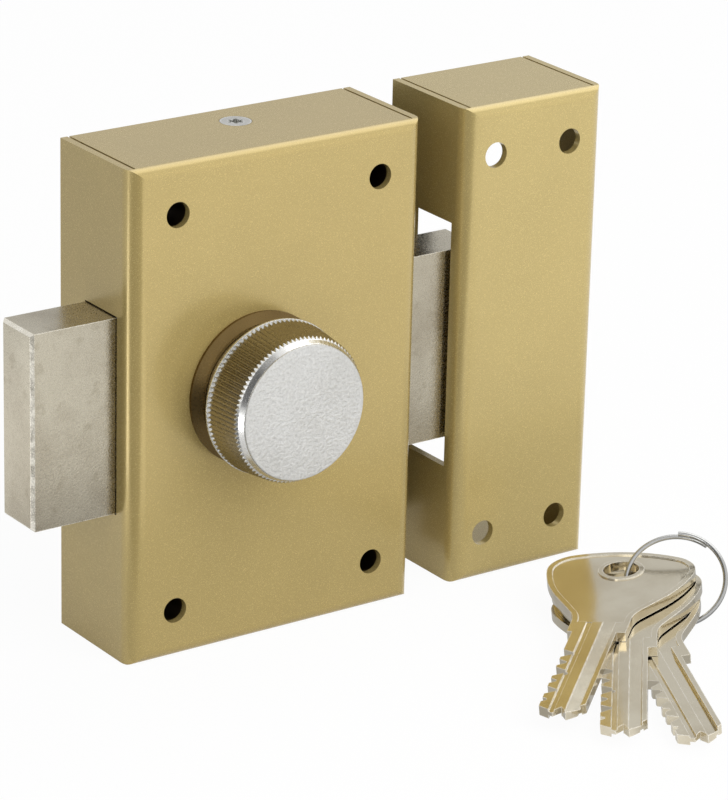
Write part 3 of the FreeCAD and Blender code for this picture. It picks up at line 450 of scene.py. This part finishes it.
def eased(node, width_mm, segments=2, sharp=32.0):
    solid = nodes[node]
    skin = bmesh.new()
    skin.from_mesh(solid.data)
    bmesh.ops.remove_doubles(skin, verts=skin.verts, dist=0.002 * MM)
    bmesh.ops.dissolve_limit(skin, angle_limit=math.radians(0.4), verts=skin.verts,
                             edges=skin.edges)
    if node in key_lies:
        hole, heading = key_lies[node]
        print("slanted:", slant_flute(skin, Vector(hole) * MM, keys_face,
                                      math.radians(heading)), "corners")
    for face in skin.faces:
        face.smooth = True
    for seam in skin.edges:
        seam.smooth = len(seam.link_faces) == 2 and seam.calc_face_angle() < math.radians(sharp)
    mesh = bpy.data.meshes.new(node + "_eased")
    skin.to_mesh(mesh)
    skin.free()
    mesh.materials.append(finishes[slot_of[node]])
    piece = bpy.data.objects.new(node + "_eased", mesh)
    bpy.context.scene.collection.objects.link(piece)
    bevel = piece.modifiers.new("eased edge", "BEVEL")
    bevel.width = width_mm * MM
    bevel.segments = segments
    bevel.limit_method = "ANGLE"
    bevel.angle_limit = math.radians(sharp)
    bevel.harden_normals = True
    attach(piece, solid["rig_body"])
    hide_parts(node)
    return piece


for node, width in {"bolt": 0.06, "key_1": 0.12, "key_2": 0.12, "key_3": 0.12}.items():
    piece = eased(node, width)
    print(piece.name, len(piece.data.polygons), "faces before its bevel")

# %% [markdown]
# The studio is a pale flat floor that runs far out on every side under a white world. A
# strong soft box in front lights the faces, a weaker one stands above and to the right, and a
# small one fills from the left. Floor and world are bright to the camera and dimmer as light,
# so the picture's ground is white without the shadows washing out. The floor is dimmer in
# mirror-like reflections too, which keeps the metal from going chalky.


# %% Floor
def seen_straight(tree):
    """The ray kinds, and a mask of the rays that look rather than light."""
    rays = add(tree, "LightPath").outputs
    plain = add(tree, "Math", {0: rays["Is Camera Ray"], 1: rays["Is Glossy Ray"]},
                operation="MAXIMUM")
    looking = add(tree, "Math", {0: plain.outputs[0], 1: rays["Is Transmission Ray"]},
                  operation="MAXIMUM")
    return rays, looking.outputs[0]


floor_level = -50 * MM
reach = 3.0
to_camera, to_mirrors = 0.95, 0.37
skin = bmesh.new()
corners = [skin.verts.new((x, -reach, floor_level)) for x in (-reach, reach)]
near_side = skin.edges.new(corners)
swept = bmesh.ops.extrude_edge_only(skin, edges=[near_side])["geom"]
bmesh.ops.translate(skin, verts=[g for g in swept if isinstance(g, bmesh.types.BMVert)],
                    vec=(0, 2 * reach, 0))
bmesh.ops.recalc_face_normals(skin, faces=skin.faces)
floor_mesh = bpy.data.meshes.new("floor")
skin.to_mesh(floor_mesh)
skin.free()
floor = bpy.data.objects.new("floor", floor_mesh)
bpy.context.scene.collection.objects.link(floor)

pale = bpy.data.materials.new("pale floor")
pale.use_nodes = True
tree = pale.node_tree
tree.nodes.clear()
matt = add(tree, "BsdfDiffuse", {"Color": (0.9, 0.9, 0.9, 1)})
glow = add(tree, "Emission", {"Color": (1, 1, 1, 1), "Strength": 1.0})
rays, looking = seen_straight(tree)
mirrored = add(tree, "Math", {0: rays["Is Glossy Ray"], 1: to_mirrors - to_camera,
                              2: to_camera}, operation="MULTIPLY_ADD")
share = add(tree, "Math", {0: looking, 1: mirrored.outputs[0]}, operation="MULTIPLY")
both = add(tree, "MixShader", {0: share.outputs[0], 1: matt.outputs[0], 2: glow.outputs[0]})
end = tree.nodes.new("ShaderNodeOutputMaterial")
tree.links.new(both.outputs[0], end.inputs["Surface"])
floor_mesh.materials.append(pale)
print("floor at", round(floor_level / MM, 1), "mm")

# %% World and lamps
world = bpy.data.worlds.new("studio")
bpy.context.scene.world = world
world.use_nodes = True
tree = world.node_tree
tree.nodes.clear()
_, looking = seen_straight(tree)
strength = add(tree, "MapRange", {"Value": looking, "To Min": 0.36, "To Max": 1.0})
light = add(tree, "Background", {"Color": (1, 1, 1, 1), "Strength": strength.outputs["Result"]})
end = tree.nodes.new("ShaderNodeOutputWorld")
tree.links.new(light.outputs[0], end.inputs["Surface"])


def soft_lamp(name, spot, aim, size, power):
    lamp = bpy.data.lights.new(name, "AREA")
    lamp.shape = "DISK"
    lamp.size = size
    lamp.energy = power
    holder = bpy.data.objects.new(name, lamp)
    holder.location = spot
    holder.rotation_mode = "QUATERNION"
    holder.rotation_quaternion = (Vector(aim) - Vector(spot)).to_track_quat("-Z", "Y")
    bpy.context.scene.collection.objects.link(holder)
    return holder


lock_middle = (0.02, -0.02, 0.0)
soft_lamp("soft box above", (0.56, 0.2, 0.82), lock_middle, 0.9, 2.8)
front_lamp = soft_lamp("front soft box", (0.25, -0.85, 0.55), lock_middle, 1.2, 10.5)
front_lamp.visible_glossy = False
soft_lamp("fill left", (-0.8, -0.3, 0.35), lock_middle, 0.5, 1.0)

# %% [markdown]
# Bright metal shows whatever stands round it, and in an all-white room it looks like chalk.
# So cards stand where a photographer would put them. Dark ones on the table and to the left
# give the folds and the knob's nose their dark line, and grey ones stand behind for the tops
# and the keys' faces. Bright ones on the table light the bolt's end and draw the bright line
# along the folds. Only mirror-like rays meet them, except the black one behind the gap
# between case and keeper, which also keeps soft light out of the gap.


# %% Cards for the reflections
def card(name, centre, facing, width, tall, tone):
    sheet = bmesh.new()
    bmesh.ops.create_grid(sheet, x_segments=1, y_segments=1, size=0.5)
    bmesh.ops.scale(sheet, vec=(width, tall, 1.0), verts=sheet.verts)
    aimed = Vector(facing).to_track_quat("Z", "Y").to_matrix().to_4x4()
    bmesh.ops.transform(sheet, matrix=Matrix.Translation(centre) @ aimed, verts=sheet.verts)
    mesh = bpy.data.meshes.new(name)
    sheet.to_mesh(mesh)
    sheet.free()
    material = bpy.data.materials.new(name)
    material.use_nodes = True
    tree = material.node_tree
    tree.nodes.clear()
    even = add(tree, "Emission", {"Color": (tone, tone, tone, 1), "Strength": 1.0})
    end = tree.nodes.new("ShaderNodeOutputMaterial")
    tree.links.new(even.outputs[0], end.inputs["Surface"])
    mesh.materials.append(material)
    board = bpy.data.objects.new(name, mesh)
    bpy.context.scene.collection.objects.link(board)
    board.visible_camera = False
    board.visible_diffuse = False
    board.visible_shadow = False
    board.visible_transmission = False
    return board


def on_table(name, x, y, lift, width, tall, tone):
    """A card that lies face up, lifted a little so that the upper one of two shows."""
    return card(name, (x, y, floor_level + lift), (0, 0, 1), width, tall, tone)


cards = [
    on_table("card on the table", -0.33, -0.42, 0.001, 0.55, 0.45, 0.04),
    card("card behind", (0.32, 0.38, 0.13), (-0.5, -0.8, -0.3), 0.6, 0.36, 0.68),
    on_table("card behind on the table", -0.1, 0.24, 0.001, 0.4, 0.3, 0.72),
    on_table("card before the lock", 0.03, -0.06, 0.0005, 0.24, 0.07, 0.52),
    card("card left", (-0.45, 0.05, 0.42), (1, 0, 0), 0.5, 0.8, 0.12),
    card("card above left", (-0.3, -0.1, 0.6), (0, 0, -1), 0.4, 0.4, 0.3),
    on_table("card for the bolt end", -0.128, 0.095, 0.002, 0.08, 0.09, 1.25),
    on_table("card for the fold", -0.19, -0.18, 0.002, 0.28, 0.26, 0.16),
    on_table("bright strip left", -0.215, -0.012, 0.003, 0.19, 0.05, 4.2),
    on_table("bright strip ahead", -0.015, -0.2, 0.003, 0.05, 0.2, 1.3),
    card("card behind the gap", (0.038, 0.012, -0.002), (0, -1, 0), 0.05, 0.094, 0.01),
]
cards[-1].visible_diffuse = True
print("cards:", [board.name for board in cards])

# %% [markdown]
# The camera stands where the photographer's did: a little above the lock and well to its
# left, with a long lens, so the case looks almost free of perspective. Its place came from
# matching the lock's straight edges.

# %% Camera
view_azimuth, view_elevation, roll = (math.radians(a) for a in (-35.37, 20.81, 1.44))
aim = Vector((20.47, -25.5, -5.3)) * MM
distance = 819.14 * MM
back = Vector((math.sin(view_azimuth) * math.cos(view_elevation),
               -math.cos(view_azimuth) * math.cos(view_elevation), math.sin(view_elevation)))
right = Vector((0, 0, 1)).cross(back).normalized()
up = back.cross(right)
right_rolled = right * math.cos(roll) + up * math.sin(roll)
up_rolled = up * math.cos(roll) - right * math.sin(roll)
lens = bpy.data.cameras.new("camera")
lens.lens = 188.4
lens.sensor_width = 36.0
lens.clip_start, lens.clip_end = 0.05, 20.0
camera = bpy.data.objects.new("camera", lens)
turn = Matrix((right_rolled, up_rolled, back)).transposed()
camera.matrix_world = Matrix.Translation(aim + back * distance) @ turn.to_4x4()
bpy.context.scene.collection.objects.link(camera)
bpy.context.scene.camera = camera
bpy.context.scene.view_settings.view_transform = "Standard"
print("camera", [round(c, 3) for c in camera.location])
